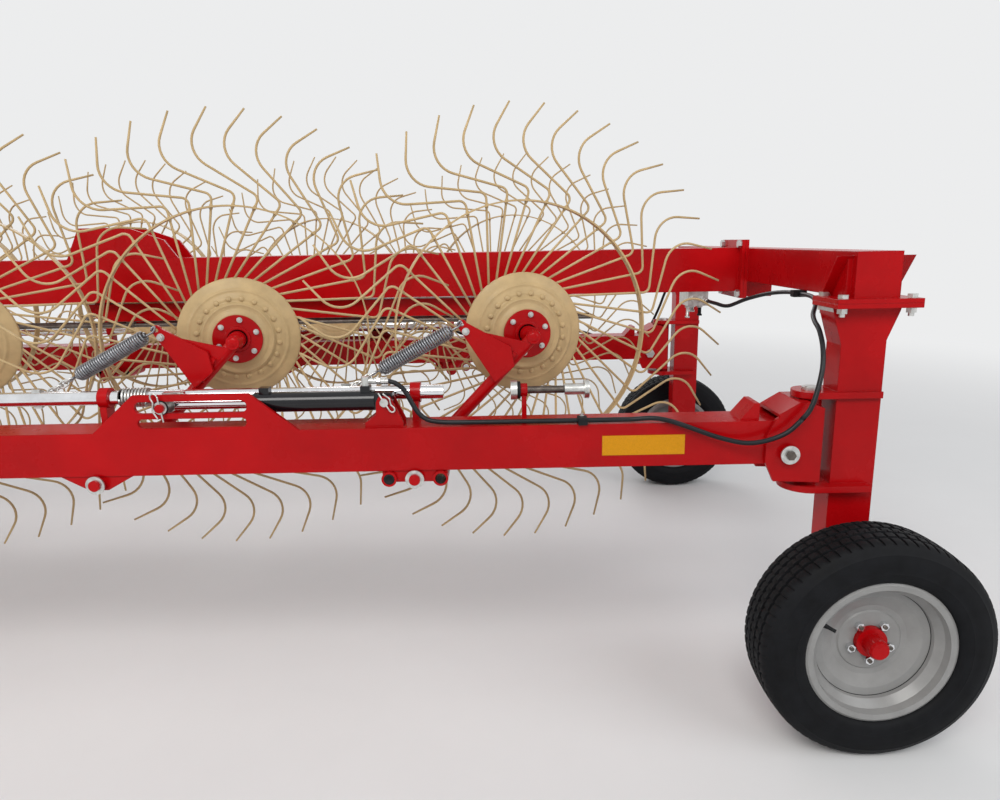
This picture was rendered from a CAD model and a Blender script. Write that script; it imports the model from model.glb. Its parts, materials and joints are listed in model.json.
"""Looks of the wheel hay rake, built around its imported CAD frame.

Places are written in CAD millimetres, from the ground below the middle of the rear posts: +X forward,
+Y to the machine's left, +Z up. at() turns them into points of the row frame in metres. Pieces are
made for the left side, and the right side gets their mirror image.
"""

import json
import math

import bpy
import numpy as np
from mathutils import Matrix, Vector
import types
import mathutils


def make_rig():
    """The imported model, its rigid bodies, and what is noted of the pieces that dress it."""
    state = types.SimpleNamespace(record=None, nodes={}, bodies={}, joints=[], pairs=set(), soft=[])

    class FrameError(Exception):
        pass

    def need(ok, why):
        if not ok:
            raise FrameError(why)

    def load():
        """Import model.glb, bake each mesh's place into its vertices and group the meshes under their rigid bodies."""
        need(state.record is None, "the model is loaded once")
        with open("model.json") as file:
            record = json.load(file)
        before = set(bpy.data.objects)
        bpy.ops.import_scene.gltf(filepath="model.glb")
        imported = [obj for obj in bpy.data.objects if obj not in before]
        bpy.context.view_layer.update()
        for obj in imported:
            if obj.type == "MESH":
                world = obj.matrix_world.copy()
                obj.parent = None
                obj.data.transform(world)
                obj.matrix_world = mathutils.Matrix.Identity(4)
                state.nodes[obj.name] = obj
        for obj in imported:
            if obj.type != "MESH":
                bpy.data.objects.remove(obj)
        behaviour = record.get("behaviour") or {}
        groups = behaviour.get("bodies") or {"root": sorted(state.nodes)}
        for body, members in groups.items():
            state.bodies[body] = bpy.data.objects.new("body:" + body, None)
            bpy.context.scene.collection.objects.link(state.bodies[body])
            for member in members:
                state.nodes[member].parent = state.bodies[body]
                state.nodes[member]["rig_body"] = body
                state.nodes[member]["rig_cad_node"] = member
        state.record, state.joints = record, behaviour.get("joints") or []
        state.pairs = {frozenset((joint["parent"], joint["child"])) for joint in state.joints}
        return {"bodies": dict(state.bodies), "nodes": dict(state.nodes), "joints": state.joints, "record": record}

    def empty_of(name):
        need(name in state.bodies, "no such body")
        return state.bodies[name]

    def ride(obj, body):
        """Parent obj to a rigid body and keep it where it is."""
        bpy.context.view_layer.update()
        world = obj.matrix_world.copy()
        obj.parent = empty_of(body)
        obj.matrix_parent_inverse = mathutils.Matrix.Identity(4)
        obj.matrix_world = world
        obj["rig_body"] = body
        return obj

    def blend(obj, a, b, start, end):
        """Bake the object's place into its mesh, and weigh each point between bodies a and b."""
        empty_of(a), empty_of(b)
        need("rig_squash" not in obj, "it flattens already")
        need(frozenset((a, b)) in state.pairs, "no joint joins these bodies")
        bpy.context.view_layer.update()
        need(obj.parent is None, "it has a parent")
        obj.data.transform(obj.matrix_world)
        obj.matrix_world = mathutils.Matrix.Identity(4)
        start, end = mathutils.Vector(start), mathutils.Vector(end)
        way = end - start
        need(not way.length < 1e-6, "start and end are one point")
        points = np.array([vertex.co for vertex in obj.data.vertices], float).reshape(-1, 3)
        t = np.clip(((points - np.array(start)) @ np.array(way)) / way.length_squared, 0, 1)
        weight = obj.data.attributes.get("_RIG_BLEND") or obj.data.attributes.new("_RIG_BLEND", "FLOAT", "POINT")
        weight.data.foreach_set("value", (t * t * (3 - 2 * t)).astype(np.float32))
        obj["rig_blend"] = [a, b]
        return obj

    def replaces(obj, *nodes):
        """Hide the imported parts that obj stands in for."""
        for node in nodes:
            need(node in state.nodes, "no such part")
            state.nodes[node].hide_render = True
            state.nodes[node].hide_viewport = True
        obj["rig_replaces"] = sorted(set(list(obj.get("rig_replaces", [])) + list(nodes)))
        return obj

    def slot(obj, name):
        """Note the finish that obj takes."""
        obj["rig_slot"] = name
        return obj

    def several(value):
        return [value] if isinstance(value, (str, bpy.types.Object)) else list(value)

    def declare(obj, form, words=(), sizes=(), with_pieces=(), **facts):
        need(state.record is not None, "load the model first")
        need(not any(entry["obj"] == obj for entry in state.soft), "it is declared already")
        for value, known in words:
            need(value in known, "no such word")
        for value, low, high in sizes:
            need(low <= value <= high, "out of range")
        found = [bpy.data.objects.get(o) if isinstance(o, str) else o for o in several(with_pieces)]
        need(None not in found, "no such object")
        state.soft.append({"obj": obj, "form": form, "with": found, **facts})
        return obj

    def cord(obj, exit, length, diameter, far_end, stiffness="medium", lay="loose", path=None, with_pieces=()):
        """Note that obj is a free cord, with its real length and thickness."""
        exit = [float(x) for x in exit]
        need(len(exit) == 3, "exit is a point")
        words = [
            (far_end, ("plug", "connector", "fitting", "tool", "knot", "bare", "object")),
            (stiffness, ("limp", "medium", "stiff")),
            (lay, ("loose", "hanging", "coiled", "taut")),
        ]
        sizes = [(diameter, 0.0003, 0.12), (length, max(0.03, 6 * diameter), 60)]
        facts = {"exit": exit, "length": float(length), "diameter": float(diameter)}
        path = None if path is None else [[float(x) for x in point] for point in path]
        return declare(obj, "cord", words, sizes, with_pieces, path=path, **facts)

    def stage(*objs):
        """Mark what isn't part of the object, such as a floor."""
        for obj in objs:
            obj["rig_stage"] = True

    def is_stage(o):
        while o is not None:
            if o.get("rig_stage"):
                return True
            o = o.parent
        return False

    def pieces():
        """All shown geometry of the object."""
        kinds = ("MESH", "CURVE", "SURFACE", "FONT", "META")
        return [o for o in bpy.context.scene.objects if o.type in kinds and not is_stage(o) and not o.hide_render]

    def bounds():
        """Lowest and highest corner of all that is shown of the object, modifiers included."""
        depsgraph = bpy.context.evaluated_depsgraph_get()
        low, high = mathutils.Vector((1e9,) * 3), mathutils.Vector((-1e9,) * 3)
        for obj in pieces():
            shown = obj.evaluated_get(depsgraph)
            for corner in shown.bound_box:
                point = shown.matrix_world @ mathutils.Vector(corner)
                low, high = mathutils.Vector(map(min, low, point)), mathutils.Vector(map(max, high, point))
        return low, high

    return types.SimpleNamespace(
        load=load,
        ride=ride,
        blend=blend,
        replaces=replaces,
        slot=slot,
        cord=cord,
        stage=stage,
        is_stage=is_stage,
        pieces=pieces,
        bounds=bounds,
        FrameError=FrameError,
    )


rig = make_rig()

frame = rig.load()
nodes = frame["nodes"]
cad_box = [list(v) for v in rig.bounds()]

# Sizes repeated from the CAD source. First: middle of the bounding box, cross beam, flanges, backbone
BOX_MIDDLE_X = 4320.0
CROSS_SIDE = 127.0
CROSS_FRONT_X = 38.5
CROSS_BOTTOM = 1264.0
FLANGES_THICK = 26.0
FLANGE_BOTTOM = CROSS_BOTTOM - FLANGES_THICK
FLANGE_BOLTS_X = (-115.5, 75.5)
FLANGE_BOLTS_OUT = 60.0
BACKBONE_HEIGHT = 170.0
BACKBONE_REAR_X = CROSS_FRONT_X + FLANGES_THICK
BACKBONE_BOTTOM = CROSS_BOTTOM + CROSS_SIDE + 3.0 - BACKBONE_HEIGHT

# Arm with its hinge pin and the bolt on which it floats
ARM_Y = 940.0
BEAM = 127.0
BEAM_Z = 860.0
BEAM_TOP = BEAM_Z + BEAM / 2
BEAM_BOTTOM = BEAM_Z - BEAM / 2
BEAM_OUT = ARM_Y + BEAM / 2
HINGE_X = 118.0
HINGE_TOP = 1000.0
FLOAT_X = 204.0
FLOAT_Z = BEAM_Z - 30.0

# Wheel arms: pivot, crank, tube, and the finger wheel's hub
PER_SIDE = 7
PIVOT_X = 1271.0
PIVOT_Z = BEAM_BOTTOM - 22.5
PIVOT_R = 16.0
PITCH = 914.0
SPARE_PITCH = 74.0
CRANK_BACK = 139.0
CRANK_UP = 420.0
TUBE_IN = 150.0
HUB_BACK = 328.0
HUB_IN = 276.0
HUB_Z = PIVOT_Z + 375.0
WHEEL_YAW = math.radians(12.3)

# Lift gear: shaft, slotted plate, adjuster and cylinder
SHAFT_Y = ARM_Y - 45.0
SHAFT_Z = BEAM_TOP + 81.0
SHAFT_R = 21.0
SLOT_FRONT_X = PIVOT_X + PITCH - 133.0
SLOT_Z = BEAM_TOP + 72.0
PIN_X = SLOT_FRONT_X - 76.0
STOP_X = PIVOT_X - 330.0
STOP_THREAD_R = 11.0
CYLINDER_OUT = 15.0
CYLINDER_R = 29.0
CYLINDER_BASE_X = PIVOT_X + 80.0
PORT_X = CYLINDER_BASE_X + 24.0

# Lift springs: direction, place, gap between crank and chain, coil and hooks, and the chain's run
SPRING_DIR = Vector((211.0, 0.0, -111.0)).normalized()
SPRING_Y = ARM_Y - TUBE_IN + 19.0 + 24.0
SPRING_LEN = 235.0
COIL_LEN = 250.0
HOOK = 34.0
CHAIN_RUN = 108.0

# Road wheels and casters
TYRE_R = 325.0
TYRE_OUT = 208.0
TYRE_WIDTH = 205.0
KING_X = PIVOT_X + 6 * PITCH + 320.0
CASTER_TRAIL = 130.0
CASTER_R = 205.0
CASTER_RIM_R = 111.0

SIDES = ((1, "left"), (-1, "right"))


def at(x, y, z):
    """A CAD place in millimetres as a point of the row frame in metres."""
    return Vector(((x - BOX_MIDDLE_X) / 1000, y / 1000, z / 1000))


# Materials

DUST = (0.52, 0.46, 0.36, 1)
BACKDROP = (0.84, 0.845, 0.85, 1)


def add_node(tree, kind, **inputs):
    """New shader node; each keyword sets the input of that name, with underscores for spaces."""
    node = tree.nodes.new(kind)
    for name, value in inputs.items():
        node.inputs[name.replace("_", " ")].default_value = value
    return node


def feed(tree, entry, value):
    """Links a socket to an input, or sets the input to a plain value."""
    if isinstance(value, bpy.types.NodeSocket):
        tree.links.new(value, entry)
    else:
        entry.default_value = value


def calculate(tree, operation, *values):
    """Result of a math node on sockets and plain numbers."""
    node = tree.nodes.new("ShaderNodeMath")
    node.operation = operation
    for entry, value in zip(node.inputs, values):
        feed(tree, entry, value)
    return node.outputs[0]


def noise(tree, coords, scale, detail, roughness=0.5):
    """Value of a noise over the piece's own coordinates."""
    node = add_node(tree, "ShaderNodeTexNoise", Scale=scale, Detail=detail, Roughness=roughness)
    feed(tree, node.inputs["Vector"], coords.outputs["Object"])
    return node.outputs["Fac"]


def colour_mix(tree, factor, first, second):
    """Colour between two others, by a factor."""
    node = tree.nodes.new("ShaderNodeMix")
    node.data_type = "RGBA"
    feed(tree, node.inputs["Factor"], factor)
    feed(tree, node.inputs[6], first)
    feed(tree, node.inputs[7], second)
    return node.outputs[2]


def mix_to_output(tree, factor, first, second, output):
    """Sends a mix of two shaders to the surface of the output node."""
    node = tree.nodes.new("ShaderNodeMixShader")
    for entry, value in zip(node.inputs, (factor, first, second)):
        feed(tree, entry, value)
    feed(tree, tree.nodes[output].inputs["Surface"], node.outputs["Shader"])


def material(name, colour, rough=0.4, metal=0.0, coat=0.0, vary=0.12, scale=6.0, bump=0.0,
             bump_scale=400.0, edge=0.0, dust=0.0, rough_vary=0.1, gloss=0.5):
    """Finish that varies with a soft noise; edge softens corners, dust lies on faces that look up."""
    made = bpy.data.materials.new(name)
    made.use_nodes = True
    tree = made.node_tree
    shader = tree.nodes["Principled BSDF"]
    shader.inputs["Metallic"].default_value = metal
    shader.inputs["Coat Weight"].default_value = coat
    shader.inputs["Coat Roughness"].default_value = 0.08
    shader.inputs["Specular IOR Level"].default_value = gloss
    coords = tree.nodes.new("ShaderNodeTexCoord")
    cloud = noise(tree, coords, scale, 6.0, 0.62)
    spread = add_node(tree, "ShaderNodeMapRange", From_Min=0.3, From_Max=0.68)
    feed(tree, spread.inputs["Value"], cloud)
    dark = (*(c * (1 - 2 * vary) for c in colour), 1)
    light = (*(min(1, c * (1 + vary)) for c in colour), 1)
    base = colour_mix(tree, spread.outputs["Result"], dark, light)
    if dust:
        geometry = tree.nodes.new("ShaderNodeNewGeometry")
        axes = tree.nodes.new("ShaderNodeSeparateXYZ")
        feed(tree, axes.inputs["Vector"], geometry.outputs["Normal"])
        upward = calculate(tree, "MULTIPLY_ADD", axes.outputs["Z"], 0.5, 0.5)
        specks = calculate(tree, "MULTIPLY", upward, noise(tree, coords, 38.0, 8.0))
        base = colour_mix(tree, calculate(tree, "MULTIPLY", specks, dust), base, DUST)
    feed(tree, shader.inputs["Base Color"], base)
    shine = add_node(tree, "ShaderNodeMapRange", To_Min=max(0.03, rough - rough_vary),
                     To_Max=min(1.0, rough + rough_vary))
    feed(tree, shine.inputs["Value"], cloud)
    feed(tree, shader.inputs["Roughness"], shine.outputs["Result"])
    normal = None
    if edge:
        bevel = add_node(tree, "ShaderNodeBevel", Radius=edge)
        bevel.samples = 3
        normal = bevel.outputs["Normal"]
    if bump:
        relief = add_node(tree, "ShaderNodeBump", Strength=bump, Distance=0.001)
        feed(tree, relief.inputs["Height"], noise(tree, coords, bump_scale, 3.0))
        if normal:
            feed(tree, relief.inputs["Normal"], normal)
        normal = relief.outputs["Normal"]
    if normal:
        feed(tree, shader.inputs["Normal"], normal)
    return made


def floor_material():
    """Pale floor that fades into the backdrop's colour far behind the machine."""
    made = material("floor_look", (0.74, 0.74, 0.735), rough=0.6, vary=0.012, scale=1.5)
    tree = made.node_tree
    geometry = tree.nodes.new("ShaderNodeNewGeometry")
    length = tree.nodes.new("ShaderNodeVectorMath")
    length.operation = "LENGTH"
    feed(tree, length.inputs[0], geometry.outputs["Position"])
    fade = add_node(tree, "ShaderNodeMapRange", From_Min=5.0, From_Max=11.5)
    fade.interpolation_type = "SMOOTHSTEP"
    feed(tree, fade.inputs["Value"], length.outputs["Value"])
    far = add_node(tree, "ShaderNodeEmission", Color=BACKDROP)
    mix_to_output(tree, fade.outputs["Result"], tree.nodes["Principled BSDF"].outputs["BSDF"],
                  far.outputs["Emission"], "Material Output")
    return made


RED = material("red_paint_look", (0.41, 0.001, 0.003), rough=0.28, coat=0.1, vary=0.12, scale=2.4,
               bump=0.1, bump_scale=90.0, edge=0.0035, dust=0.008, gloss=0.1)
TAN = material("tan_paint_look", (0.49, 0.35, 0.175), rough=0.45, coat=0.05, vary=0.09, scale=14.0,
               bump=0.15, bump_scale=160.0, dust=0.03, gloss=0.2)
BLACK = material("black_gloss_look", (0.005, 0.005, 0.007), rough=0.2, coat=0.35, vary=0.2, scale=9.0,
                 gloss=0.25)
RUBBERY = material("black_matt_look", (0.008, 0.009, 0.010), rough=0.6, vary=0.2, scale=40.0, gloss=0.2)
ZINC = material("zinc_look", (0.60, 0.60, 0.58), rough=0.32, metal=0.9, vary=0.14, scale=60.0,
                bump=0.1, bump_scale=500.0)
CHROME = material("chrome_look", (0.80, 0.81, 0.83), rough=0.1, metal=1.0, vary=0.05, scale=20.0,
                  rough_vary=0.05)
SPRING = material("spring_look", (0.25, 0.255, 0.27), rough=0.3, metal=0.7, vary=0.2, scale=70.0)
STEEL = material("raw_steel_look", (0.13, 0.11, 0.095), rough=0.42, metal=0.75, vary=0.25, scale=45.0,
                 bump=0.2, bump_scale=300.0)
HOSE = material("hose_look", (0.008, 0.009, 0.011), rough=0.4, coat=0.1, vary=0.2, scale=30.0,
                bump=0.25, bump_scale=700.0, gloss=0.2)
RUBBER = material("tyre_look", (0.0065, 0.007, 0.0085), rough=0.6, vary=0.22, scale=16.0,
                  bump=0.3, bump_scale=420.0, dust=0.008, gloss=0.1)
RIM = material("rim_look", (0.27, 0.268, 0.262), rough=0.38, metal=0.1, coat=0.08, vary=0.06, scale=12.0,
               dust=0.03, gloss=0.3)
AMBER = material("reflector_look", (0.58, 0.245, 0.002), rough=0.3, coat=0.2, vary=0.06, scale=300.0,
                 bump=0.5, bump_scale=900.0, gloss=0.1)
FLOOR = floor_material()


# Mesh building

# local axes left as they are
HERE = Matrix()
# from millimetres to metres
MILLIMETRES = Matrix.Diagonal((0.001, 0.001, 0.001, 1.0))


def turned(degrees, axis):
    return Matrix.Rotation(math.radians(degrees), 4, axis)


def moved(x, y, z):
    return Matrix.Translation((x, y, z))


def look_along(origin, direction):
    """Matrix that puts local Z along a direction at a place."""
    turn = Vector(direction).normalized().to_track_quat("Z", "Y")
    return Matrix.Translation(origin) @ turn.to_matrix().to_4x4()


def outward(x, y, z):
    """Matrix that puts local Z towards the machine's left at a place."""
    return moved(x, y, z) @ turned(-90, "X")


def circle(radius, count):
    return [(radius * math.cos(2 * math.pi * i / count), radius * math.sin(2 * math.pi * i / count))
            for i in range(count)]


def spline(places, step=12.0):
    """Smooth line through places, in steps of about a given length."""
    p = [Vector(q) for q in places]
    line = []
    for i in range(len(p) - 1):
        a, b, c, d = p[max(i - 1, 0)], p[i], p[i + 1], p[min(i + 2, len(p) - 1)]
        count = max(2, int((c - b).length / step))
        for k in range(count):
            t = k / count
            line.append(0.5 * (2 * b + (c - a) * t + (2 * a - 5 * b + 4 * c - d) * t * t
                               + (3 * b - a - 3 * c + d) * t ** 3))
    line.append(p[-1])
    return line


class Shape:
    """Points and faces of one piece, with each face's finish number and smooth flag."""

    def __init__(self):
        self.points = []
        self.faces = []
        self.finishes = []
        self.smooth = []

    def add(self, points, faces, finish=0, smooth=True):
        first = len(self.points)
        self.points += [tuple(p) for p in points]
        self.faces += [tuple(i + first for i in f) for f in faces]
        self.finishes += [finish] * len(faces)
        self.smooth += [smooth] * len(faces)

    def tube(self, line, radius, sides=8, finish=0, closed=False):
        """Round tube along a line, with one radius or one for each point; closed joins its ends."""
        line = np.array([tuple(p) for p in line], float)
        count = len(line)
        if closed:
            along = np.roll(line, -1, 0) - np.roll(line, 1, 0)
        else:
            along = np.gradient(line, axis=0)
        along /= np.linalg.norm(along, axis=1)[:, None]
        radius = np.broadcast_to(np.asarray(radius, float), (count,))
        across = np.array((0.0, 0.0, 1.0))
        if abs(along[0][2]) > 0.9:
            across = np.array((1.0, 0.0, 0.0))
        angles = 2 * np.pi * np.arange(sides) / sides
        points = []
        for k in range(count):
            across = across - np.dot(across, along[k]) * along[k]
            across /= np.linalg.norm(across)
            third = np.cross(along[k], across)
            points += list(line[k] + radius[k] * (np.cos(angles)[:, None] * across
                                                  + np.sin(angles)[:, None] * third))
        faces = []
        for k in range(count if closed else count - 1):
            j = (k + 1) % count
            for i in range(sides):
                h = (i + 1) % sides
                faces.append((k * sides + i, k * sides + h, j * sides + h, j * sides + i))
        if not closed:
            faces.append(tuple(range(sides - 1, -1, -1)))
            faces.append(tuple((count - 1) * sides + i for i in range(sides)))
        self.add(points, faces, finish)

    def lathe(self, profile, steps, finish=0, place=HERE, closed=True, smooth=True):
        """Profile of (radius, height) points turned about local Z; closed joins its ends."""
        rings = []
        for k in range(steps):
            a = 2 * math.pi * k / steps
            rings.append([place @ Vector((r * math.cos(a), r * math.sin(a), z)) for r, z in profile])
        self.skin(rings, finish, closed, smooth)

    def skin(self, rings, finish=0, closed=True, smooth=True):
        """Faces between profiles that follow each other round an axis."""
        size = len(rings[0])
        faces = []
        for k in range(len(rings)):
            j = (k + 1) % len(rings)
            for i in range(size if closed else size - 1):
                h = (i + 1) % size
                faces.append((k * size + i, j * size + i, j * size + h, k * size + h))
        self.add([p for ring in rings for p in ring], faces, finish, smooth)

    def prism(self, outline, z0, z1, chamfer, finish=0, place=HERE):
        """Flat outline pushed from z0 to z1, with a small chamfer on top."""
        n = len(outline)
        mid_x = sum(p[0] for p in outline) / n
        mid_y = sum(p[1] for p in outline) / n
        rings = [(z0, 0.0), (z1 - chamfer, 0.0), (z1, chamfer)]
        points = []
        for z, inset in rings:
            for x, y in outline:
                k = 1 - inset / math.hypot(x - mid_x, y - mid_y)
                points.append(place @ Vector((mid_x + (x - mid_x) * k, mid_y + (y - mid_y) * k, z)))
        faces = [tuple(range(n - 1, -1, -1)), tuple(2 * n + i for i in range(n))]
        for q in range(2):
            for i in range(n):
                h = (i + 1) % n
                faces.append((q * n + i, q * n + h, (q + 1) * n + h, (q + 1) * n + i))
        self.add(points, faces, finish, False)

    def hexbolt(self, place, flats, height, finish=0, washer=True, thread=0.0):
        """Bolt head or nut up local Z, with an optional washer below and thread end above."""
        z = 0.0
        if washer:
            z = flats * 0.1
            self.prism(circle(flats * 0.68, 24), 0, z, flats * 0.02, finish, place)
        top = z + height
        self.prism(circle(flats / 2 / math.cos(math.pi / 6), 6), z, top, flats * 0.06, finish, place)
        if thread:
            self.prism(circle(flats * 0.32, 16), top, top + thread, flats * 0.04, finish, place)

    def move(self, place):
        self.points = [tuple(place @ Vector(p)) for p in self.points]

    def to_row(self):
        """Turns CAD millimetres into metres of the row frame."""
        self.points = [tuple(at(*p)) for p in self.points]
        return self

    def mirrored(self):
        other = Shape()
        other.points = [(x, -y, z) for x, y, z in self.points]
        other.faces = [tuple(reversed(f)) for f in self.faces]
        other.finishes = list(self.finishes)
        other.smooth = list(self.smooth)
        return other

    def piece(self, name, materials, body, slot=None, place=None, mesh=None):
        """Scene object of this mesh, or of one made before, that rides on a body."""
        if mesh is None:
            mesh = bpy.data.meshes.new(name)
            mesh.from_pydata(self.points, [], self.faces)
            for look in materials:
                mesh.materials.append(look)
            mesh.polygons.foreach_set("material_index", self.finishes)
            mesh.polygons.foreach_set("use_smooth", self.smooth)
            mesh.update()
        made = bpy.data.objects.new(name, mesh)
        bpy.context.collection.objects.link(made)
        if place is not None:
            made.matrix_world = place
        if body:
            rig.ride(made, body)
        if slot:
            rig.slot(made, slot)
        return made

    def both_sides(self, name, materials, body, slot=None):
        """The piece on the left and its mirror image on the right."""
        made = []
        for sign, side in SIDES:
            shape = self if sign > 0 else self.mirrored()
            made.append(shape.piece(side + "_" + name, materials, body.format(side), slot))
        return made


# Finger wheels, modelled in millimetres about local Z, with the pressed disc bulging up

DISC_R = 190.0
FLANGE_R = 76.0
HUB_R = 40.0
SPINDLE_R = 18.0
DISH = 50.0
HOOP_R = 410.0
WHEEL_R = 700.0
TINES = 40
TINE_R = 3.9
TINE_Z = -0.5
RIVETS = 20
RIVETS_R = 126.0
HUB_BOLTS_R = 61.0
# radius and height of each rounded rib in the disc
RIBS = [(DISC_R - 26, 0), (DISC_R - 38, 3), (DISC_R - 72, -3), (DISC_R - 82, 4), (FLANGE_R + 18, -2)]


def sheet_height(radius):
    """Height of the disc's sheet between its edge and the hub flange."""
    return (DISH - 16) * (DISC_R - 26 - radius) / (DISC_R - 26 - FLANGE_R) + 10


def rounded_corner(before, corner, after, radius, steps):
    """Arc that rounds the corner between two straight runs."""
    u = (before - corner).normalized()
    v = (after - corner).normalized()
    half = math.acos(max(-1, min(1, u.dot(v)))) / 2
    middle = corner + (u + v).normalized() * (radius / math.sin(half))
    first = corner + u * (radius / math.tan(half)) - middle
    last = corner + v * (radius / math.tan(half)) - middle
    start = math.atan2(first.y, first.x)
    sweep = math.atan2(last.y, last.x) - start
    if sweep > math.pi:
        sweep -= 2 * math.pi
    if sweep < -math.pi:
        sweep += 2 * math.pi
    angles = [start + sweep * k / steps for k in range(steps + 1)]
    return [middle + radius * Vector((math.cos(a), math.sin(a))) for a in angles]


def hoop_crossing(line):
    """Where the straight part of a tine meets the hoop, and the tine's direction there."""
    for a, b in zip(line, line[1:]):
        if a.length < HOOP_R <= b.length:
            t = (HOOP_R - a.length) / (b.length - a.length)
            return a.lerp(b, t), (b - a).normalized()
    raise ValueError("the tine doesn't reach the hoop")


def tines_and_hoop(wheel):
    """Bent tines that start at the disc and are welded to a hoop; the outline is that of one tine."""
    foot = DISC_R * Vector((-0.2, 0.8775))
    knee = HOOP_R * Vector((0.2366, 1.0634))
    back = WHEEL_R * Vector((-0.16, 0.8157))
    tip = WHEEL_R * Vector((-0.0489, 0.9988))
    line = [foot, foot.lerp(knee, 0.5)]
    line += rounded_corner(foot, knee, back, 22, 6)
    line += rounded_corner(knee, back, tip, 75, 8) + [tip]
    cross, along = hoop_crossing(line)
    for i in range(TINES):
        spin = Matrix.Rotation(-2 * math.pi * i / TINES, 2)
        # tips stand a little out of line, as on a used wheel
        stray = 2.2 * math.sin(i * 2.4) + 1.2 * math.sin(i * 5.1)
        points = []
        for p in line:
            far = max(0.0, (p.length - HOOP_R) / (WHEEL_R - HOOP_R))
            points.append((*(spin @ p), stray * far + TINE_Z))
        wheel.tube(points, [TINE_R] * (len(line) - 1) + [3.1], 7)
        # weld that ties the tine to the hoop
        middle = Vector((*(spin @ cross), TINE_Z))
        lengthwise = Vector((*(spin @ along), 0))
        wheel.tube([middle + lengthwise * k for k in (-9, -6, 0, 6, 9)], [4.0, 5.4, 5.9, 5.4, 4.0])
    band = [(HOOP_R - 2.5, -14), (HOOP_R + 2.5, -14), (HOOP_R + 2.5, 14), (HOOP_R - 2.5, 14)]
    wheel.lathe(band, 160, smooth=False)


def pressed_disc(wheel):
    """Dished sheet with a rolled edge and rounded ribs, and its ring of rivets."""
    top = [(DISC_R - 1, -6.3), (DISC_R - 0.2, -2), (DISC_R - 0.2, 4), (DISC_R - 2, 6.4),
           (DISC_R - 6, 8.3), (DISC_R - 13, 11.4), (DISC_R - 20, 14), (DISC_R - 24, 15.6)]
    for r in range(int(DISC_R - 28), int(FLANGE_R + 4), -2):
        ribs = sum(height * math.exp(-((r - middle) / 4.5) ** 2) for middle, height in RIBS)
        top.append((r, sheet_height(r) + 6 + ribs))
    top += [(FLANGE_R + 2, DISH - 0.2), (FLANGE_R - 4, DISH)]
    low = [(r - (1.0 if r > 160 else 0.0), max(z - 4.0, -6.3)) for r, z in reversed(top[2:])]
    wheel.lathe(top + low, 96)
    rivet = [(9.6, -0.6), (8.6, 0.4), (8.2, 2.4), (6.8, 4.0), (4.2, 5.0), (0.01, 5.3)]
    for i in range(RIVETS):
        degrees = (i + 0.5) * 360 / RIVETS
        a = math.radians(degrees)
        place = moved(RIVETS_R * math.cos(a), RIVETS_R * math.sin(a), sheet_height(RIVETS_R) + 5.2)
        wheel.lathe(rivet, 16, 0, place @ turned(degrees, "Z") @ turned(21, "Y"), False)


def wheel_hub(wheel):
    """Red hub flange with a raised lip, a dark seat round the spindle, and zinc bolts."""
    red, zinc, dark = 1, 2, 3
    flange = [(HUB_R, DISH + 8), (FLANGE_R - 1.2, DISH + 8), (FLANGE_R, DISH + 6.8),
              (FLANGE_R, DISH + 0.1)]
    wheel.lathe(flange, 64, red, closed=False, smooth=False)
    lip = [(30, DISH - 8), (30, DISH + 10.6), (31.4, DISH + 12), (HUB_R - 1.4, DISH + 12),
           (HUB_R, DISH + 10.6), (HUB_R, DISH + 8)]
    wheel.lathe(lip, 48, red, closed=False, smooth=False)
    wheel.lathe([(SPINDLE_R, DISH - 8), (30, DISH - 8)], 48, dark, closed=False, smooth=False)
    barrel = [(HUB_R, DISH - 3), (HUB_R, -38), (HUB_R - 2, -40), (SPINDLE_R, -40)]
    wheel.lathe(barrel, 48, red, closed=False, smooth=False)
    back = [(FLANGE_R - 2, DISH - 8), (HUB_R + 6, DISH - 9), (HUB_R, DISH - 14)]
    wheel.lathe(back, 48, red, closed=False)
    for i in range(6):
        a = math.radians(i * 60 + 20)
        x, y = HUB_BOLTS_R * math.cos(a), HUB_BOLTS_R * math.sin(a)
        head = moved(x, y, DISH + 8) @ Matrix.Rotation(i * 0.7, 4, "Z")
        wheel.hexbolt(head, 13, 7.5, zinc, thread=2.5)
        wheel.hexbolt(moved(x, y, DISH - 9) @ turned(180, "X"), 13, 8, zinc, washer=False, thread=4)


def add_finger_wheels():
    wheel = Shape()
    tines_and_hoop(wheel)
    pressed_disc(wheel)
    wheel_hub(wheel)
    wheel.move(Matrix.Rotation(math.pi + WHEEL_YAW, 4, "Z") @ turned(90, "X") @ MILLIMETRES)
    for sign, side in SIDES:
        shape = wheel if sign > 0 else wheel.mirrored()
        mesh = None
        for i in range(PER_SIDE):
            number = i + 1
            place = Matrix.Translation(at(PIVOT_X + i * PITCH - HUB_BACK, sign * (ARM_Y - HUB_IN), HUB_Z))
            made = shape.piece("%s_finger_wheel_look_%d" % (side, number), [TAN, RED, ZINC, RUBBERY],
                               "%s_finger_wheel_%d_body" % (side, number), "tan_paint", place, mesh)
            mesh = made.data
            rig.replaces(made, "%s_finger_wheel_%d" % (side, number))


add_finger_wheels()


# Lift springs and chains

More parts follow.
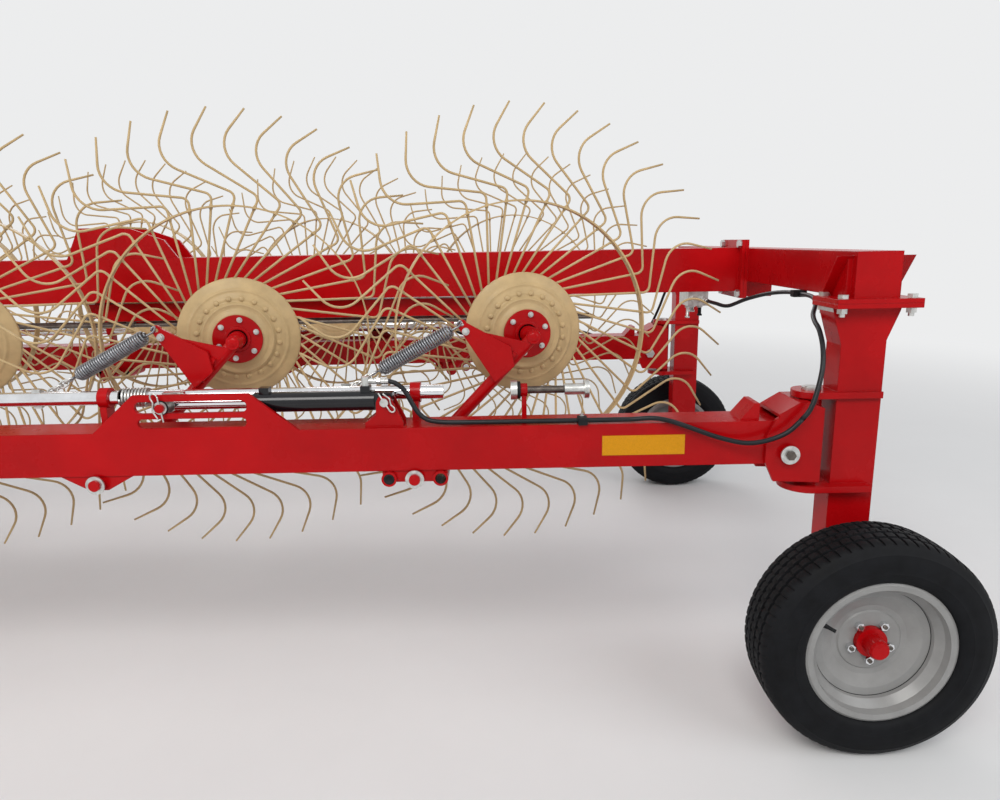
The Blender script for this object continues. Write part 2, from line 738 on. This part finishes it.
def spring_shape():
    """Coil with its two hooks, along local Z from the crank plate towards the chain."""
    shape = Shape()
    turns = 32
    radius = 19.8
    count = turns * 14
    line = []
    for k in range(count + 1):
        a = 2 * math.pi * turns * k / count
        u = k / count
        r = radius * min(1.0, 0.45 + 12 * u, 0.45 + 12 * (1 - u))
        line.append((r * math.cos(a), r * math.sin(a), COIL_LEN * u))
    shape.tube(line, 3.3, 6)
    low_hook = [(6, 0, 6), (3, 0, -4), (0, 0, -14), (0, 0, -24), (0, 4, -33), (0, 10, -38), (0, 13, -34),
                (0, 11, -27), (0, 5, -22)]
    shape.tube(low_hook, 3.1)
    high_hook = [(6, 0, COIL_LEN - 6), (2, 0, COIL_LEN + 4), (0, 0, COIL_LEN + 9)]
    for k in range(9):
        a = math.radians(-90 + 36 * k)
        high_hook.append((9 * math.cos(a), 0, COIL_LEN + 17 + 9 * math.sin(a)))
    shape.tube(high_hook, 3.1)
    return shape


def chain_link(shape, place, length, width, wire):
    """Oval link in local X and Z."""
    line = []
    for end in (1, -1):
        for k in range(8):
            a = math.pi * k / 7
            reach = (length - width) / 2 + width / 2 * math.sin(a)
            line.append((end * width / 2 * math.cos(a), 0, end * reach))
    shape.tube([place @ Vector(p) for p in line], wire / 2, 7, closed=True)


def spring_anchor(i):
    """Hook's place on the crank plate of a wheel arm."""
    return Vector((PIVOT_X + i * PITCH - CRANK_BACK, SPRING_Y, PIVOT_Z + CRANK_UP))


def add_lift_spring(i):
    """Spring, its bolt, the gusset from the crank plate to the tube, and the tube's rounded end."""
    zinc, red = 1, 2
    anchor = spring_anchor(i)
    shape = spring_shape()
    shape.move(look_along(anchor + SPRING_DIR * HOOK, SPRING_DIR))
    shape.hexbolt(outward(*(anchor + Vector((-11, -3.2, -21)))), 17, 9, zinc, thread=3)
    near = [anchor + Vector(p) for p in ((-70, -5.5, -26), (-212, -27, -64), (-158, -22, -108))]
    behind = (near[1] - near[0]).cross(near[2] - near[0]).normalized() * 5
    if behind.y > 0:
        behind = -behind
    shape.add(near + [p + behind for p in near],
              [(0, 1, 2), (5, 4, 3), (0, 3, 4, 1), (1, 4, 5, 2), (2, 5, 3, 0)], red, False)
    end_x = PIVOT_X + i * PITCH - HUB_BACK - (HUB_IN - TUBE_IN) * math.tan(WHEEL_YAW)
    cap = [(21.4, -20), (21.4, 9), (20.6, 14), (18, 18.6), (13, 21.8), (6, 23.4), (0.01, 23.7)]
    shape.lathe(cap, 32, red, outward(end_x, ARM_Y - TUBE_IN, HUB_Z), False)
    number = i + 1
    shape.to_row().both_sides("lift_spring_%d" % number, [SPRING, ZINC, RED],
                              "{}_wheel_arm_%d_body" % number)


def add_lift_chain(i):
    links = 5
    spring_end = spring_anchor(i) + SPRING_DIR * (HOOK + SPRING_LEN)
    start = spring_end + SPRING_DIR * HOOK
    end = Vector((spring_end.x + CHAIN_RUN, SHAFT_Y - SHAFT_R - 15, SHAFT_Z))
    run = end - start
    shape = Shape()
    for k in range(links):
        place = look_along(start + run * ((k + 0.5) / links), run)
        place = place @ Matrix.Rotation(math.pi / 2 * (k % 2) + 0.4, 4, "Z")
        chain_link(shape, place, run.length / links + 11, 19, 5.6)
    shape.to_row().both_sides("lift_chain_%d" % (i + 1), [ZINC], "{}_lift")


for i in range(PER_SIDE):
    add_lift_spring(i)
    add_lift_chain(i)


# Wheel arms without the solids that stand for their springs

def points_of(mesh):
    flat = np.empty(len(mesh.vertices) * 3)
    mesh.vertices.foreach_get("co", flat)
    return flat.reshape(-1, 3)


def beside_line(points, start, direction):
    """How far each point is along a line from its start, and how far off the line, in millimetres."""
    direction = np.array(direction, float)
    from_start = (points - np.array(start)) * 1000
    along = from_start @ direction
    return along, np.linalg.norm(from_start - along[:, None] * direction, axis=1)


def face_place(poly):
    """A face's middle in CAD millimetres, as if it were on the left side."""
    c = poly.center
    return c.x * 1000 + BOX_MIDDLE_X, abs(c.y) * 1000, c.z * 1000


def copy_without(name, drop, materials, choose, body, slot):
    """Copy of a CAD node without the faces whose corners are all dropped; each face gets its finish."""
    source = nodes[name].data
    points = points_of(source)
    shape = Shape()
    kept = []
    for poly in source.polygons:
        corners = list(poly.vertices)
        if all(drop[v] for v in corners):
            continue
        kept.append(corners)
        shape.finishes.append(choose(*face_place(poly)))
    used = sorted({v for corners in kept for v in corners})
    index = {v: k for k, v in enumerate(used)}
    shape.points = [tuple(points[v]) for v in used]
    shape.faces = [tuple(index[v] for v in corners) for corners in kept]
    shape.smooth = [True] * len(kept)
    made = shape.piece(name + "_look", materials, body, slot)
    made.data.set_sharp_from_angle(angle=math.radians(28))
    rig.replaces(made, name)


def arm_choice(pivot_x):
    """Zinc washer, pivot end and spindle; all else on a wheel arm is red."""
    def choose(x, y, z):
        if y > BEAM_OUT + 2 and math.hypot(x - pivot_x, z - PIVOT_Z) > PIVOT_R + 0.6:
            return 1
        return 1 if y < ARM_Y - HUB_IN - 44 else 0
    return choose


for sign, side in SIDES:
    for i in range(PER_SIDE):
        name = "%s_wheel_arm_%d" % (side, i + 1)
        anchor = spring_anchor(i)
        start = at(anchor.x, sign * anchor.y, anchor.z)
        along, off = beside_line(points_of(nodes[name].data), start, SPRING_DIR)
        coil_or_hook = (along > -4) & (((off < 22.8) & (along > 16)) | (off < 3.4))
        copy_without(name, coil_or_hook, [RED, ZINC], arm_choice(PIVOT_X + i * PITCH), name + "_body",
                     "red_paint")


# Road tyres with a ribbed tread, and what is on their rims

def tyre_shape():
    """Tyre about local Z, with ribbed side walls, four grooves and short cuts across the tread."""
    pitches = 66
    half = TYRE_WIDTH / 2
    rim = 207.5
    inner = TYRE_R - 18
    side = [(192.0, half - 34), (192.0, half - 22), (rim + 1, half - 21.5), (rim + 1, half - 17),
            (rim + 5, half - 11), (rim + 12, half - 5.5), (rim + 22, half - 1.8), (rim + 30, half - 1.2),
            (rim + 33, half - 0.1), (rim + 36, half - 1.2), (rim + 46, half), (rim + 62, half - 1.2),
            (rim + 74, half - 3.4), (rim + 82, half - 6), (rim + 84.5, half - 6.2), (rim + 87, half - 8.4),
            (rim + 94, half - 12), (rim + 101, half - 16.5)]
    # radius, height, and whether the short cuts reach it
    shoulder = [(rim + 106, half - 20.5, 0), (rim + 110, half - 25, 1), (rim + 112.5, half - 30, 1),
                (rim + 114.2, half - 37, 1), (rim + 115, half - 46, 1)]
    # height, and whether it lies in a groove
    rows = [(32.0, 0), (0.0, 0), (-32.0, 0)]
    for middle in (47.5, 16.0, -16.0, -47.5):
        rows += [(middle + 5.2, 0), (middle + 3.6, 1), (middle - 3.6, 1), (middle - 5.2, 0)]
    rows.sort(reverse=True)
    profile = [(r, z, 0) for r, z in side] + shoulder
    for z, grooved in rows:
        crown = TYRE_R - (z / 100.0) ** 2 * 8
        profile.append((crown - 8.0, z, 0) if grooved else (crown, z, 1))
    profile += [(r, -z, cut) for r, z, cut in reversed(shoulder)]
    profile += [(r, -z, 0) for r, z in reversed(side)]
    profile += [(rim + 24, -half + 40, 0), (inner, -half + 26, 0), (inner, half - 26, 0),
                (rim + 24, half - 40, 0)]
    # six steps in each pitch, with the depth of a cut at each
    steps = (0.0, 0.13, 0.16, 0.5, 0.63, 0.66)
    depths = (0.0, 0.2, 5.0, 0.0, 0.2, 5.0)
    rings = []
    for number in range(pitches * 6):
        step = number % 6
        a = 2 * math.pi * (number // 6 + steps[step]) / pitches
        ring = []
        for r, z, cut in profile:
            # cuts in one part of the tread lie half a pitch from those in the rest
            first_half = z > 16 or -16 < z <= 0
            if cut and (step < 3) == first_half:
                r = r - depths[step]
            twist = a + 0.012 * math.sin(z / 24.0)
            ring.append((r * math.cos(twist), r * math.sin(twist), z))
        rings.append(ring)
    shape = Shape()
    shape.skin(rings)
    return shape


def add_tyres():
    tyre = tyre_shape()
    tyre.move(outward(0, ARM_Y + TYRE_OUT, TYRE_R))
    pair = tyre.to_row().both_sides("tyre_look", [RUBBER], "{}_road_wheel", "tyre")
    for made, node in zip(pair, ("left_tyre", "right_tyre")):
        made.data.set_sharp_from_angle(angle=math.radians(35))
        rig.replaces(made, node)


def add_valve_stems():
    """Black valve stem that points towards the hub, and the dark seam round the rim's disc."""
    wheel = outward(0, ARM_Y + TYRE_OUT, TYRE_R)
    stem = [(172, 0, 47), (164, 0, 50), (152, 0, 54), (140, 0, 59), (133, 0, 62)]
    shape = Shape()
    shape.tube([wheel @ turned(-25, "Z") @ Vector(p) for p in stem], [8.5, 7.2, 5.5, 4.8, 5.2], 12)
    shape.tube([wheel @ Vector((x, y, 32.6)) for x, y in circle(162.4, 96)], 1.1, 6, closed=True)
    shape.to_row().both_sides("valve_stem", [RUBBERY], "{}_road_wheel")


add_tyres()
add_valve_stems()


# Hoses: the route of the CAD source, from the cylinder's port to the valve block

HOSE_POINTS = [
    (PORT_X - 0.3, ARM_Y + 15, 1051.5),
    (PORT_X - 22, ARM_Y + 15, 1051.5),
    (PORT_X - 52, ARM_Y + 16, SLOT_Z + CYLINDER_R + 21),
    (PORT_X - 79, ARM_Y + 21, SLOT_Z + 29),
    (PORT_X - 100, ARM_Y + 30, SLOT_Z - 7),
    (PORT_X - 119, ARM_Y + 39, SLOT_Z - 35),
    (PORT_X - 146, ARM_Y + 47, SLOT_Z - 54),
    (PORT_X - 184, BEAM_OUT - 14, BEAM_TOP + 12),
    (PORT_X - 226, BEAM_OUT - 12, BEAM_TOP + 10.5),
    (PORT_X - 350, BEAM_OUT - 12, BEAM_TOP + 10),
    (788, BEAM_OUT - 10, BEAM_TOP + 10),
    (660, BEAM_OUT - 6, BEAM_TOP + 11),
    (560, BEAM_OUT + 8, BEAM_TOP + 12),
    (404, BEAM_OUT + 25, BEAM_TOP - 40),
    (317, BEAM_OUT + 38, BEAM_TOP - 53),
    (234, BEAM_OUT + 42, BEAM_TOP - 30),
    (184, BEAM_OUT + 42, BEAM_TOP + 13),
    (155, BEAM_OUT + 38, BEAM_TOP + 56),
    (125, ARM_Y + 75, BEAM_TOP + 140),
    (112, ARM_Y + 42, BEAM_TOP + 200),
    (105, ARM_Y - 5, FLANGE_BOTTOM - 68),
    (99, ARM_Y - 55, FLANGE_BOTTOM - 46),
    (86, ARM_Y - 97, FLANGE_BOTTOM - 30),
    (66, ARM_Y - 132, FLANGE_BOTTOM - 10),
    (53, ARM_Y - 170, CROSS_BOTTOM - 19),
    (48, ARM_Y - 220, CROSS_BOTTOM - 12),
    (48, ARM_Y - 300, CROSS_BOTTOM - 12),
    (56, ARM_Y - 380, CROSS_BOTTOM - 12),
    (82, ARM_Y - 480, CROSS_BOTTOM - 24),
    (118, ARM_Y - 585, CROSS_BOTTOM - 50),
    (156, 265, BACKBONE_BOTTOM - 42),
    (184, 205, BACKBONE_BOTTOM - 37),
    (194.5, 150, BACKBONE_BOTTOM - 34),
    (194.5, 100.3, BACKBONE_BOTTOM - 34)]
HOSE_SPLIT = 16
HOSE_DIAMETER = 0.014


def length_of(points):
    return sum((b - a).length for a, b in zip(points, points[1:]))


def hose_part(name, points, first, second, start, end, node=None):
    """Part of a hose that bends between two bodies, declared with its real length."""
    shape = Shape()
    shape.tube(points, HOSE_DIAMETER / 2, 12)
    made = shape.piece(name, [HOSE], None, "hose")
    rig.blend(made, first, second, start=tuple(start), end=tuple(end))
    if node:
        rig.replaces(made, node)
    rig.cord(made, exit=points[0], length=length_of(points), diameter=HOSE_DIAMETER, far_end="object",
            stiffness="stiff", lay="loose", path=points)


route = spline(HOSE_POINTS)
split = min(range(len(route)), key=lambda k: (route[k] - Vector(HOSE_POINTS[HOSE_SPLIT])).length)
for sign, side in SIDES:
    points = [at(p.x, sign * p.y, p.z) for p in route]
    hose_part(side + "_arm_hose_front", points[:split + 1], side + "_knuckle_body", side + "_arm",
              at(225, sign * 1040, 850), at(330, sign * 1040, 850), side + "_arm_hose")
    hose_part(side + "_arm_hose_rear", points[split:], "frame", side + "_knuckle_body",
              at(118, sign * 1000, 1150), at(200, sign * 1048, 880))


def ferrule(points):
    """Crimped hose end: a ribbed sleeve and a nut."""
    sleeve = [(6.9, 0), (9.2, 1), (9.2, 8), (8.4, 9), (9.2, 10), (9.2, 15), (8.4, 16), (9.2, 17),
              (9.2, 22), (6.8, 23)]
    direction = (points[0] - points[3]).normalized()
    place = look_along(points[0] - direction * 34, direction)
    shape = Shape()
    shape.lathe(sleeve, 20, 0, place, False)
    shape.hexbolt(place @ moved(0, 0, 23), 19, 10.5, washer=False)
    return shape.to_row()


def add_block_fittings():
    """Fittings below the valve block under the backbone; the first one has a black cap."""
    middle_x = BACKBONE_REAR_X + 150
    under_z = BACKBONE_BOTTOM - 57.9
    shape = Shape()
    for dx, y, r, height, finish in ((-24, 12, 11, 34, 1), (2, -14, 13, 20, 0), (26, 14, 10, 42, 0)):
        place = moved(middle_x + dx, y, under_z) @ turned(180, "X")
        shape.hexbolt(place, 2 * r, 9)
        stub = [(r * 0.62, 0), (r * 0.62, height - 8), (r * 0.9, height - 6), (r * 0.9, height),
                (0.01, height + 1)]
        shape.lathe(stub, 20, finish, place @ moved(0, 0, 11), False)
    shape.to_row().piece("block_fittings", [ZINC, RUBBERY], "frame")


def add_hose_clamps():
    """Black blocks that hold the hose on the arm and below the cross beam."""
    long = 26
    front_x = 776
    rear_place = (48, ARM_Y - 290, CROSS_BOTTOM)
    shape = Shape()
    shape.prism([(-22, 0.1), (22, 0.1), (22, 17), (19, 20), (-19, 20), (-22, 17)], 0, long, 1.2, 0,
                moved(front_x, BEAM_OUT - 10, BEAM_TOP) @ turned(90, "Y") @ turned(90, "Z"))
    shape.hexbolt(moved(front_x + long / 2, BEAM_OUT - 25, BEAM_TOP + 20), 11, 5, 1)
    shape.to_row().both_sides("hose_clamp_front", [RUBBERY, ZINC], "{}_arm")
    shape = Shape()
    shape.prism([(-22, -0.1), (-22, -19), (-19, -22), (19, -22), (22, -19), (22, -0.1)], 0, long, 1.2, 0,
                moved(*rear_place) @ turned(90, "X"))
    shape.to_row().both_sides("hose_clamp_rear", [RUBBERY], "frame")


ferrule(route).both_sides("hose_end_front", [ZINC], "{}_arm")
ferrule(route[::-1]).both_sides("hose_end_rear", [ZINC], "frame")
add_block_fittings()
add_hose_clamps()


# Bare amber reflectors on the arms' outer faces

def add_reflectors():
    rear_x, front_x = 497, 733
    low_z, high_z = BEAM_Z - 29, BEAM_Z + 29
    thick = 1.6
    gap = 0.2
    shape = Shape()
    shape.prism([(rear_x, low_z), (front_x, low_z), (front_x, high_z), (rear_x, high_z)], 0, thick, 0.4)
    shape.points = [(x, BEAM_OUT + out + gap, z) for x, z, out in shape.points]
    shape.faces = [tuple(reversed(f)) for f in shape.faces]
    shape.to_row().both_sides("side_reflector", [AMBER], "{}_arm")


add_reflectors()


# Lift gear: clips in the pins, cushion coil, the adjuster's washer and thread, plugs and bushing

def spring_clip(place, size=1.0):
    """Clip of bent wire along local Z: a straight leg through the pin and a wavy leg round it."""
    leg = [(0, 0, 34), (0, 0, 10), (0, 0, -12), (0, 0, -40)]
    wave = [(0, 0, 34), (4, 0, 42), (12, 0, 45), (19, 0, 39), (19, 0, 29), (16, 0, 20), (19, 0, 8),
            (23, 0, -3), (18, 0, -16), (13, 0, -30)]
    shape = Shape()
    for line in (leg, wave):
        shape.tube([place @ (p * size) for p in spline(line, 4.0)], 2.4)
    return shape.to_row()


def shaft_helix(start_x, length, radius, turns, steps):
    """Line that winds round the lift shaft's axis."""
    count = turns * steps
    line = []
    for k in range(count + 1):
        a = 2 * math.pi * k / steps
        x = start_x + length * k / count
        line.append((x, SHAFT_Y + radius * math.cos(a), SHAFT_Z + radius * math.sin(a)))
    return line


def add_clips():
    lift_clip = moved(PIN_X - 2, BEAM_OUT + 12, SLOT_Z) @ turned(8, "Y")
    spring_clip(lift_clip).both_sides("lift_pin_clip", [ZINC], "{}_lift")
    base_clip = moved(CYLINDER_BASE_X - 1, ARM_Y + CYLINDER_OUT + 38, SLOT_Z) @ turned(-150, "Y")
    spring_clip(base_clip, 0.8).both_sides("base_pin_clip", [ZINC], "{}_arm")


def add_shaft_parts():
    shape = Shape()
    shape.tube(shaft_helix(SLOT_FRONT_X + 8, 76, 26, 8, 18), 3.4)
    shape.to_row().both_sides("cushion_coil", [ZINC], "{}_lift")
    shape = Shape()
    washer = [(10.9, 0.2), (25, 0.2), (26, 1.4), (26, 8.2), (25, 9.4), (10.9, 9.4)]
    shape.lathe(washer, 40, 0, moved(STOP_X + 20, SHAFT_Y, SHAFT_Z) @ turned(90, "Y"))
    shape.tube(shaft_helix(STOP_X - 108, 104, 10.9, 26, 12), 0.95, 5, 1)
    shape.to_row().both_sides("adjuster_washer", [RUBBERY, STEEL], "{}_arm")


def add_plugs_and_bushing():
    """Black plugs in some of the spare pivot tubes, and the black bushing beside the lift pin's head."""
    plug = [(15.3, -4), (15.3, 4.4), (14, 6), (11, 6.6), (9, 4), (0.01, 4)]
    shape = Shape()
    for i in range(0, PER_SIDE, 2):
        mouth = outward(PIVOT_X + i * PITCH + SPARE_PITCH, BEAM_OUT + 6, PIVOT_Z)
        shape.lathe(plug, 28, 0, mouth, False)
    shape.to_row().both_sides("tube_plugs", [RUBBERY], "{}_arm")
    bushing = [(12.7, 0.2), (20.5, 0.2), (20.5, 4.6), (12.7, 4.6)]
    shape = Shape()
    shape.lathe(bushing, 32, 0, outward(PIN_X, BEAM_OUT, SLOT_Z))
    shape.to_row().both_sides("pin_bushing", [RUBBERY], "{}_lift")


add_clips()
add_shaft_parts()
add_plugs_and_bushing()


# CAD nodes keep their shape and get finishes. Each choice tells a face's finish number from its place.

def repaint(name, materials, choose):
    mesh = nodes[name].data
    mesh.materials.clear()
    for look in materials:
        mesh.materials.append(look)
    for poly in mesh.polygons:
        poly.material_index = choose(*face_place(poly))
    mesh.update()


def plain(x, y, z):
    return 0


def post_choice(x, y, z):
    """Zinc head of the hinge pin."""
    return 1 if math.hypot(x - HINGE_X, y - ARM_Y) < 30 and z > HINGE_TOP + 0.5 else 0


def cross_choice(x, y, z):
    """Zinc bolts above and below the flanges."""
    if FLANGE_BOTTOM - 0.2 <= z <= CROSS_BOTTOM + 0.2:
        return 0
    for bolt_x in FLANGE_BOLTS_X:
        for bolt_y in (ARM_Y - FLANGE_BOLTS_OUT, ARM_Y + FLANGE_BOLTS_OUT):
            if math.hypot(x - bolt_x, y - bolt_y) < 17.5:
                return 1
    return 0


def backbone_choice(x, y, z):
    """Zinc bolts at the flange, and steel fittings on the tube below."""
    if BACKBONE_REAR_X + 0.3 < x <= BACKBONE_REAR_X + 20 and y > 92:
        return 1
    return 2 if x > 630 and z < BACKBONE_BOTTOM - 80 and 34 < y < 54 else 0


def knuckle_choice(x, y, z):
    """Zinc washers of the float bolt, and its steel head."""
    out = y - BEAM_OUT - 13
    r = math.hypot(x - FLOAT_X, z - FLOAT_Z)
    if out > 18.9 and r < 15:
        return 2
    return 1 if (out > 13.9 and r < 28) or (y - ARM_Y < -77 and r < 27) else 0


def beam_choice(x, y, z):
    """Adjuster's zinc nuts and steel thread, and the black inside of the spare pivot tubes."""
    r = math.hypot(y - SHAFT_Y, z - SHAFT_Z)
    if x < STOP_X + 60 and r < 32 and z > BEAM_TOP + 40:
        if x > STOP_X + 25:
            return 1
        if x > STOP_X - 1:
            return 0 if r > STOP_THREAD_R else 2
        return 1 if x < STOP_X - 109 else 2
    for k in (-1, 1):
        for i in range(0, PER_SIDE, 2):
            if math.hypot(x - PIVOT_X - i * PITCH - k * SPARE_PITCH, z - PIVOT_Z) < 15.6:
                return 3
    return 0


def shaft_choice(x, y, z):
    """Chromed shaft and rod, zinc rings and eye, and the lift pin's red head."""
    chrome, zinc, red = 0, 1, 2
    r = math.hypot(y - SHAFT_Y, z - SHAFT_Z)
    if abs(x - PIN_X) < 31 and z < SLOT_Z + 30:
        if y > BEAM_OUT + 8.2:
            return red
        if y > BEAM_OUT + 4.8 and math.hypot(x - PIN_X, z - SLOT_Z) > 12:
            return zinc
        if y > SHAFT_Y + 22:
            return zinc if x < PIN_X + 25 else chrome
        return red if r > SHAFT_R + 0.4 else chrome
    return zinc if y <= SHAFT_Y + 24 and r > SHAFT_R + 0.4 else chrome


def fork_choice(x, y, z):
    """Zinc nuts at the ends of the caster's axle."""
    return 1 if abs(y - ARM_Y) > 104 else 0


def caster_choice(x, y, z):
    """Grey rim in the black tyre."""
    return 1 if math.hypot(x - KING_X + CASTER_TRAIL, z - CASTER_R) < CASTER_RIM_R else 0


def cylinder_choice(x, y, z):
    """Zinc pin at the cylinder's base, and its zinc port."""
    if abs(y - ARM_Y - CYLINDER_OUT) > 22 and math.hypot(x - CYLINDER_BASE_X, z - SLOT_Z) < 13:
        return 1
    return 1 if z > SLOT_Z + CYLINDER_R + 15.2 else 0


def hub_choice(x, y, z):
    """Bright wheel nuts with steel stud ends."""
    out = y - ARM_Y - TYRE_OUT
    if math.hypot(x, z - TYRE_R) > 44.5 and out > 14:
        return 2 if out > 29.4 else 1
    return 0


def chain_rods_and_cushion(name, sign):
    """Points of the lift shaft that stand for the chains and for the cushion coil."""
    points = points_of(nodes[name].data)
    drop = np.zeros(len(points), bool)
    for i in range(PER_SIDE):
        spring_end = spring_anchor(i) + SPRING_DIR * (HOOK + SPRING_LEN)
        hook = spring_end + SPRING_DIR * HOOK
        lug = Vector((spring_end.x + CHAIN_RUN, sign * (SHAFT_Y - SHAFT_R - 14), SHAFT_Z))
        direction = (Vector((hook.x, sign * (SPRING_Y + 2), hook.z)) - lug).normalized()
        along, off = beside_line(points, at(*lug), direction)
        drop |= (along > 6.5) & (off < 4.6)
    x = points[:, 0] * 1000 + BOX_MIDDLE_X
    off = np.hypot(points[:, 1] * 1000 - sign * SHAFT_Y, points[:, 2] * 1000 - SHAFT_Z)
    return drop | (x > SLOT_FRONT_X + 3) & (x < SLOT_FRONT_X + 89) & (off > SHAFT_R + 0.3)


for name in ("tongue", "front_saddle"):
    repaint(name, [RED], plain)
repaint("backbone", [RED, ZINC, STEEL], backbone_choice)
repaint("cross_beam", [RED, ZINC], cross_choice)
repaint("hydraulic_block", [ZINC], plain)
repaint("jack_sleeve", [BLACK], plain)
repaint("jack_leg", [ZINC], plain)
for sign, side in SIDES:
    repaint(side + "_post", [RED, ZINC], post_choice)
    repaint(side + "_knuckle", [RED, ZINC, STEEL], knuckle_choice)
    repaint(side + "_arm_beam", [RED, ZINC, STEEL, BLACK], beam_choice)
    shaft = side + "_lift_shaft"
    copy_without(shaft, chain_rods_and_cushion(shaft, sign), [CHROME, ZINC, RED], shaft_choice,
                 side + "_lift", "chrome")
    repaint(side + "_lift_cylinder", [BLACK, ZINC], cylinder_choice)
    repaint(side + "_rim", [RIM], plain)
    repaint(side + "_wheel_hub", [RED, CHROME, STEEL], hub_choice)
    repaint(side + "_caster_fork", [RED, ZINC], fork_choice)
    repaint(side + "_caster_wheel", [RUBBER, RIM], caster_choice)


# Stage, light and camera

def add_floor():
    shape = Shape()
    shape.add([(-40, -40, 0), (40, -40, 0), (40, 40, 0), (-40, 40, 0)], [(0, 1, 2, 3)], 0, False)
    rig.stage(shape.piece("floor", [FLOOR], None))


def studio_world():
    """Soft light for the object; the camera, metal and glass see the pale backdrop instead."""
    world = bpy.data.worlds.new("studio")
    world.use_nodes = True
    tree = world.node_tree
    light = tree.nodes["Background"]
    light.inputs["Color"].default_value = (0.93, 0.95, 1.0, 1)
    light.inputs["Strength"].default_value = 0.42
    seen = add_node(tree, "ShaderNodeBackground", Color=BACKDROP)
    rays = tree.nodes.new("ShaderNodeLightPath")
    direct = rays.outputs["Is Camera Ray"]
    for ray in ("Is Glossy Ray", "Is Transmission Ray"):
        direct = calculate(tree, "MAXIMUM", direct, rays.outputs[ray])
    mix_to_output(tree, direct, light.outputs["Background"], seen.outputs["Background"], "World Output")
    return world


def add_lamp(name, place, target, size, power, colour=(1, 1, 1)):
    lamp = bpy.data.lights.new(name, "AREA")
    lamp.shape = "RECTANGLE"
    lamp.size, lamp.size_y = size
    lamp.energy = power
    lamp.color = colour
    made = bpy.data.objects.new(name, lamp)
    bpy.context.collection.objects.link(made)
    made.matrix_world = look_along(place, Vector(place) - Vector(target))


def add_camera():
    """Camera fitted to the photograph, from its axes and place in the row frame."""
    lens = bpy.data.cameras.new("camera")
    lens.sensor_fit = "HORIZONTAL"
    lens.sensor_width = 36.0
    lens.lens = 25.897
    lens.clip_end = 200
    lens.dof.use_dof = False
    made = bpy.data.objects.new("camera", lens)
    bpy.context.collection.objects.link(made)
    right = (-0.999811, 0.006863, -0.018206)
    up = (-0.019259, -0.216034, 0.976196)
    behind = (0.002767, 0.976362, 0.216125)
    turn = Matrix((right, up, behind)).transposed().to_4x4()
    made.matrix_world = moved(-3.2919, 2.9809, 1.4371) @ turn
    return made


add_floor()
add_lamp("key", (-1.0, 7.5, 7.5), (-2.0, 0.3, 0.8), (5.0, 4.0), 500, (1.0, 0.98, 0.95))
add_lamp("fill", (-8.5, 4.5, 4.5), (-3.5, 0.6, 0.8), (5.0, 4.0), 170, (0.95, 0.97, 1.0))
add_lamp("front", (7.0, 3.5, 5.0), (2.0, 0.0, 0.8), (5.0, 4.0), 210)
add_lamp("back", (0.0, -7.5, 6.0), (0.0, 0.0, 0.8), (8.0, 4.0), 260)
scene = bpy.context.scene
scene.world = studio_world()
scene.camera = add_camera()
scene.view_settings.view_transform = "Standard"

json.dump({"cad": cad_box, "visual": [list(v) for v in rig.bounds()]}, open("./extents.json", "w"))
